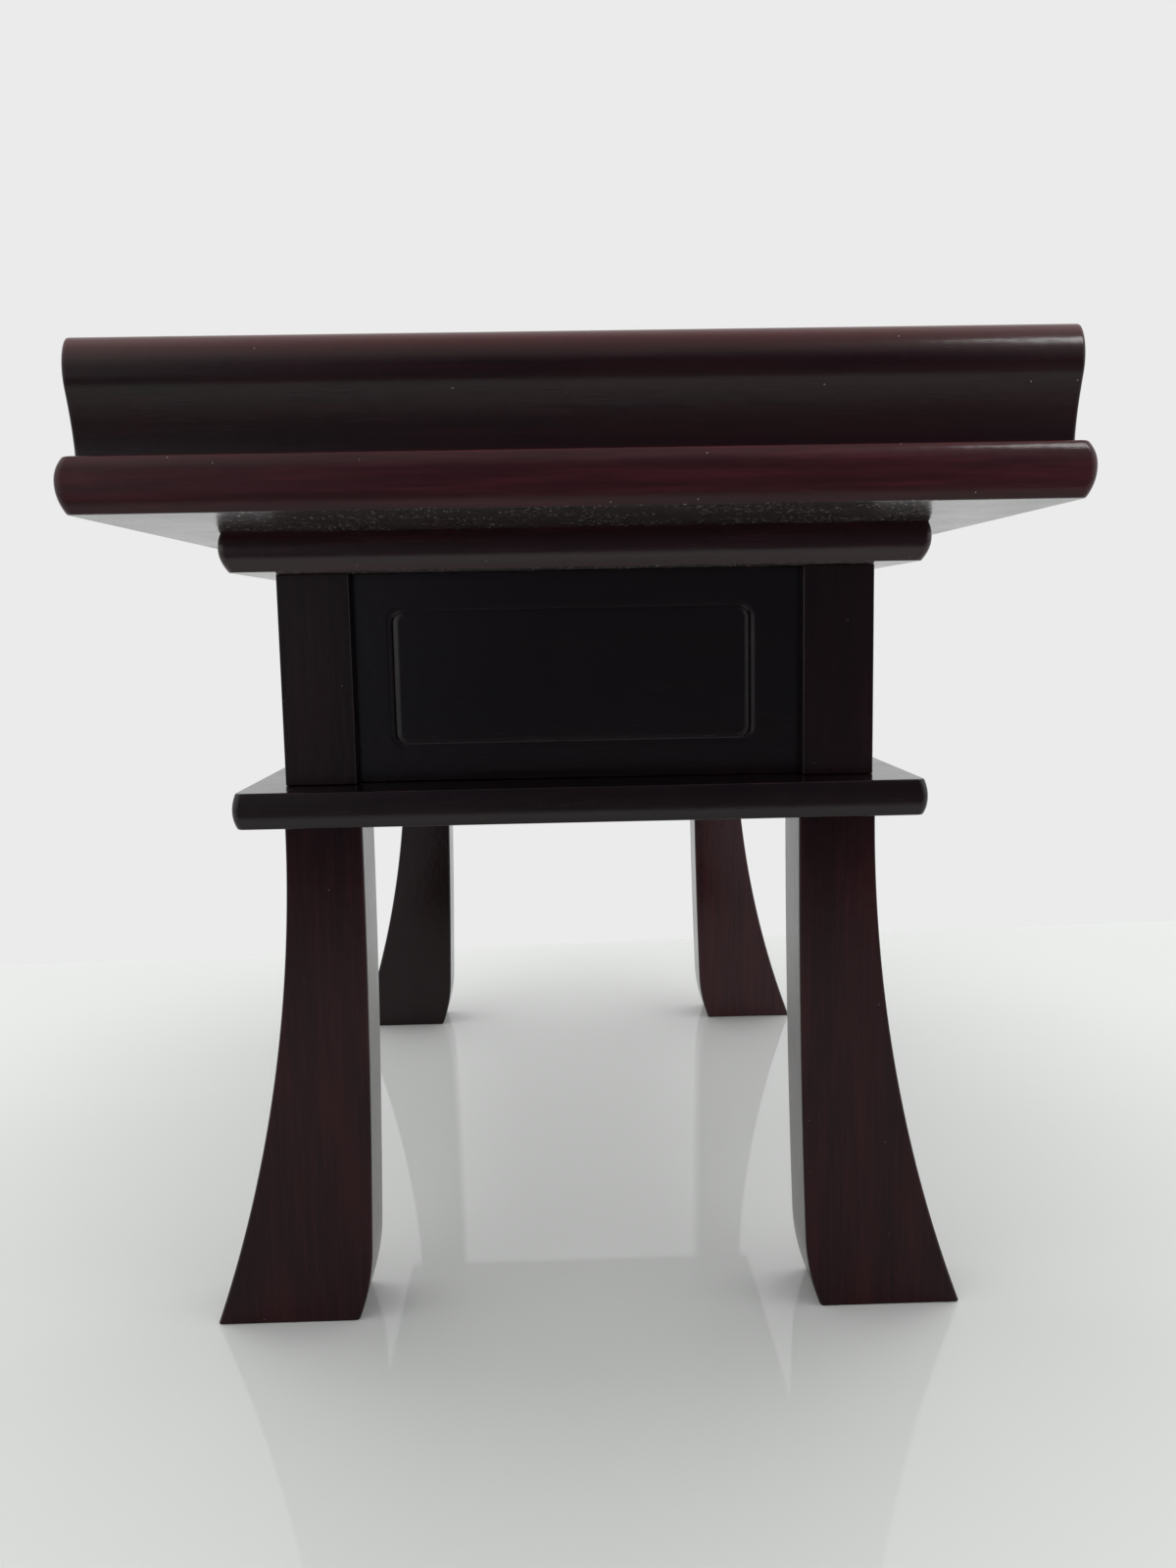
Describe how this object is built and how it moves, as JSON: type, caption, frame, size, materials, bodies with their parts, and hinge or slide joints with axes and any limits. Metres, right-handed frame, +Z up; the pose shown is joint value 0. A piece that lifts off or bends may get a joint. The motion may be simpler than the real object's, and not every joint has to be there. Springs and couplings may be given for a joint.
{
  "type": "offering table",
  "caption": "Low lacquered offering desk: board top with raised curled end lips, a drawer case with routed panels between nosed boards, and legs that curve outwards.",
  "frame": {"origin": "on the floor, under the middle of the top", "axes": "+X along the desk to its right-hand end, -Y out of the drawer fronts, +Z up"},
  "size_m": [0.545, 0.273, 0.3215],
  "materials": {
    "lacquer": "dark red-brown lacquer over fine straight grain, semi-gloss",
    "drawer_wood": "pale unfinished wood, matt",
    "case_wood": "plain unfinished wood, matt",
    "dowel_wood": "plain turned beech, matt",
    "screw_steel": "plain zinc-plated steel"
  },
  "bodies": {
    "desk": {"top_board": "lacquer", "end_lip_right": "lacquer", "end_lip_left": "lacquer", "lip_dowel_front_right": "dowel_wood", "lip_dowel_front_left": "dowel_wood", "lip_dowel_back_right": "dowel_wood", "lip_dowel_back_left": "dowel_wood", "upper_case_board": "lacquer", "lower_case_board": "lacquer", "top_screw_front_right": "screw_steel", "top_screw_front_left": "screw_steel", "top_screw_back_right": "screw_steel", "top_screw_back_left": "screw_steel", "corner_post_front_right": "lacquer", "corner_post_front_left": "lacquer", "corner_post_back_right": "lacquer", "corner_post_back_left": "lacquer", "post_dowel_front_right": "dowel_wood", "post_dowel_front_left": "dowel_wood", "post_dowel_back_right": "dowel_wood", "post_dowel_back_left": "dowel_wood", "leg_front_right": "lacquer", "leg_front_left": "lacquer", "leg_back_right": "lacquer", "leg_back_left": "lacquer", "leg_dowel_front_right": "dowel_wood", "leg_dowel_front_left": "dowel_wood", "leg_dowel_back_right": "dowel_wood", "leg_dowel_back_left": "dowel_wood", "end_panel_right": "lacquer", "end_panel_left": "lacquer", "back_panel": "lacquer", "drawer_divider": "lacquer", "drawer_guide_right": "case_wood", "drawer_guide_left": "case_wood", "drawer_stop_right": "case_wood", "drawer_stop_left": "case_wood"},
    "drawer_right": {"drawer_front_right": "lacquer", "drawer_side_right_right": "drawer_wood", "drawer_side_right_left": "drawer_wood", "drawer_back_right": "drawer_wood", "drawer_bottom_right": "drawer_wood", "drawer_knob_right": "lacquer", "knob_screw_right": "screw_steel"},
    "drawer_left": {"drawer_front_left": "lacquer", "drawer_side_left_right": "drawer_wood", "drawer_side_left_left": "drawer_wood", "drawer_back_left": "drawer_wood", "drawer_bottom_left": "drawer_wood", "drawer_knob_left": "lacquer", "knob_screw_left": "screw_steel"}
  },
  "joints": [
    {"name": "drawer_right_slide", "type": "slide", "parent": "desk", "child": "drawer_right", "axis": [0, -1, 0], "range_m": [0, 0.12]},
    {"name": "drawer_left_slide", "type": "slide", "parent": "desk", "child": "drawer_left", "axis": [0, -1, 0], "range_m": [0, 0.12]}
  ]
}
